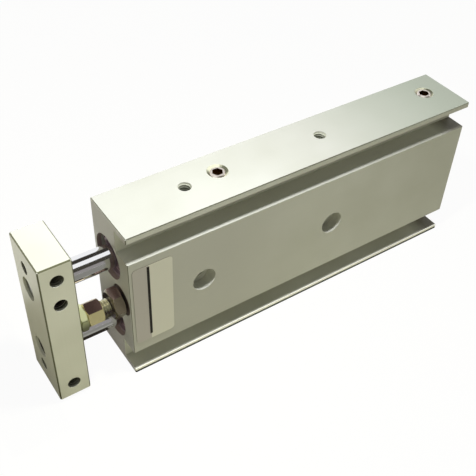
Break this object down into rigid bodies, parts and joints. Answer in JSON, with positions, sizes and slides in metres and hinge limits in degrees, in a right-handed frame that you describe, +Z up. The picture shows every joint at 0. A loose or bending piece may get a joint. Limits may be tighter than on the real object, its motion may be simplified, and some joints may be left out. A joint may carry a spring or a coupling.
{
  "type": "pneumatic cylinder",
  "caption": "Flat twin-rod pneumatic cylinder: parallel piston rods joined by an end plate slide out of an aluminium block with switch grooves, air ports and a stroke adjuster.",
  "frame": {"origin": "centre of the lower narrow face of the housing, the face that the cylinder stands on", "axes": "+X from the rod end towards the head end, +Y from the front face with the switch grooves towards the back face, +Z up across both rods"},
  "size_m": [0.1247, 0.0171, 0.046],
  "materials": {
    "anodized_body": "clear-anodized extrusion, satin",
    "urethane": "matte urethane",
    "bearing_alloy": "turned bearing alloy",
    "nitrile": "matte nitrile rubber",
    "spring_steel": "phosphated spring steel",
    "plated_plug": "nickel-plated brass",
    "label_foil": "satin silver foil, bare",
    "anodized_plate": "clear-anodized, satin",
    "rod_chrome": "hard chrome, polished",
    "black_steel": "black oxide steel",
    "yellow_zinc": "yellow zinc plate",
    "piston_alloy": "turned aluminium",
    "rubber_magnet": "rubber-bonded ferrite",
    "zinc_steel": "bright zinc plate"
  },
  "bodies": {
    "cylinder_body": {"housing": "anodized_body", "end_bumper": "urethane", "rod_cover_a": "bearing_alloy", "rod_cover_b": "bearing_alloy", "rod_seal_a": "nitrile", "rod_seal_b": "nitrile", "seal_retainers": "spring_steel", "rod_cover_o_rings": "nitrile", "rod_cover_retaining_rings": "spring_steel", "head_cover_a": "bearing_alloy", "head_cover_b": "bearing_alloy", "head_cover_o_rings": "nitrile", "head_cover_retaining_rings": "spring_steel", "head_bumpers": "urethane", "port_plugs": "plated_plug", "name_label": "label_foil"},
    "rods_and_plate": {"plate": "anodized_plate", "piston_rod_a": "rod_chrome", "piston_rod_b": "rod_chrome", "rod_a_set_screw": "black_steel", "rod_b_cap_screw": "black_steel", "bumper_bolt": "yellow_zinc", "adjuster_lock_nut": "yellow_zinc", "adjuster_sleeve": "yellow_zinc", "piston_a": "piston_alloy", "piston_b": "piston_alloy", "piston_seal_a": "nitrile", "piston_seal_b": "nitrile", "piston_magnet_a": "rubber_magnet", "piston_magnet_b": "rubber_magnet", "piston_clamp_a": "piston_alloy", "piston_clamp_b": "piston_alloy", "piston_nuts": "zinc_steel", "piston_bumpers": "urethane"}
  },
  "joints": [
    {"name": "rod_stroke", "type": "slide", "parent": "cylinder_body", "child": "rods_and_plate", "axis": [-1, 0, 0], "range_m": [0, 0.05]}
  ]
}
